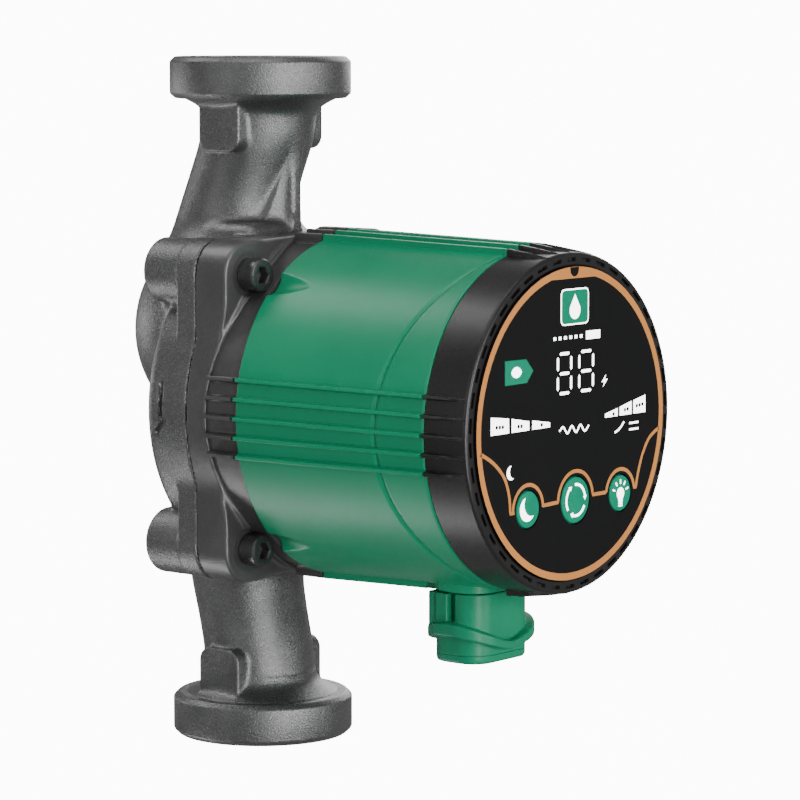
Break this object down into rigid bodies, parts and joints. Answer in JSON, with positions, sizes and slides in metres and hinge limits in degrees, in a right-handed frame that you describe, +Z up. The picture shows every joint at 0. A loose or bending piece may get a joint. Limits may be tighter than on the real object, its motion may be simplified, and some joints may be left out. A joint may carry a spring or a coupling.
{
  "type": "circulator pump",
  "caption": "Inline wet-rotor circulator with threaded pipe collars, lobed volute housing, ribbed motor shell, round display panel with keys and a pull-out mains connector.",
  "frame": {"origin": "where the pipe axis crosses the motor axis, half way between the two port faces", "axes": "+Z up along the pipe axis from outlet to inlet, -Y forward along the motor axis to the display, +X to the right seen from the front"},
  "size_m": [0.0916, 0.1354, 0.18],
  "materials": {
    "cast_iron": "dark grey paint over a fine cast grain, semi-matt",
    "grey_casting": "dark grey painted die casting, semi-matt",
    "green_plastic": "deep green moulded plastic, satin",
    "black_plastic": "black moulded plastic, satin",
    "label_black": "smooth printed black film",
    "button_green": "green moulded key, satin",
    "stainless_steel": "drawn stainless steel",
    "black_steel": "blackened steel",
    "ceramic": "ground ceramic, off-white",
    "carbon": "moulded carbon graphite, matt",
    "magnet": "sintered magnet, matt dark grey",
    "composite": "moulded composite, natural colour",
    "rubber": "black moulded rubber, matt",
    "lamination": "stamped sheet edges, satin",
    "copper": "enamelled copper wire",
    "board": "green solder mask, satin",
    "component": "dark moulded component case",
    "brass": "bright stamped brass",
    "aluminium": "extruded aluminium, plain"
  },
  "bodies": {
    "pump": {"pump_housing": "cast_iron", "motor_flange": "grey_casting", "stator_shell": "green_plastic", "control_cap": "black_plastic", "mains_socket": "black_plastic", "front_panel": "label_black", "wear_ring": "stainless_steel", "bearing_plate": "stainless_steel", "rotor_can": "stainless_steel", "flange_screw_1": "black_steel", "flange_screw_2": "black_steel", "flange_screw_3": "black_steel", "flange_screw_4": "black_steel", "front_bearing": "carbon", "rear_bearing": "carbon", "can_gasket": "rubber", "cap_gasket": "rubber", "stator_core": "lamination", "stator_coil_1": "copper", "stator_coil_2": "copper", "stator_coil_3": "copper", "stator_coil_4": "copper", "stator_coil_5": "copper", "stator_coil_6": "copper", "choke_coil": "copper", "circuit_board": "board", "tact_switch_1": "component", "tact_switch_2": "component", "tact_switch_3": "component", "led_display": "component", "filter_capacitor_1": "component", "filter_capacitor_2": "component", "contact_pin_1": "brass", "contact_pin_2": "brass", "contact_pin_3": "brass", "heat_sink": "aluminium"},
    "rotor": {"shaft": "ceramic", "rotor_magnet": "magnet", "rotor_sleeve": "stainless_steel", "thrust_ring": "ceramic", "impeller_clip": "stainless_steel", "impeller": "composite", "impeller_shroud": "composite"},
    "button_night": {"button_night": "button_green"},
    "button_mode": {"button_mode": "button_green"},
    "button_light": {"button_light": "button_green"},
    "plug": {"plug_body": "green_plastic", "plug_cover": "green_plastic", "cable_grommet": "rubber", "plug_contact_1": "brass", "plug_contact_2": "brass", "plug_contact_3": "brass"}
  },
  "joints": [
    {"name": "rotor_spin", "type": "hinge", "parent": "pump", "child": "rotor", "pos_m": [0, 0, 0], "axis": [0, 1, 0], "continuous": true},
    {"name": "button_night_press", "type": "slide", "parent": "pump", "child": "button_night", "axis": [0, 1, 0], "range_m": [0, 0.0005], "stiffness_N_per_m": 2500, "springref_m": -0.0003},
    {"name": "button_mode_press", "type": "slide", "parent": "pump", "child": "button_mode", "axis": [0, 1, 0], "range_m": [0, 0.0005], "stiffness_N_per_m": 2500, "springref_m": -0.0003},
    {"name": "button_light_press", "type": "slide", "parent": "pump", "child": "button_light", "axis": [0, 1, 0], "range_m": [0, 0.0005], "stiffness_N_per_m": 2500, "springref_m": -0.0003},
    {"name": "plug_pull", "type": "slide", "parent": "pump", "child": "plug", "axis": [0, 0, -1], "range_m": [0, 0.022]}
  ]
}
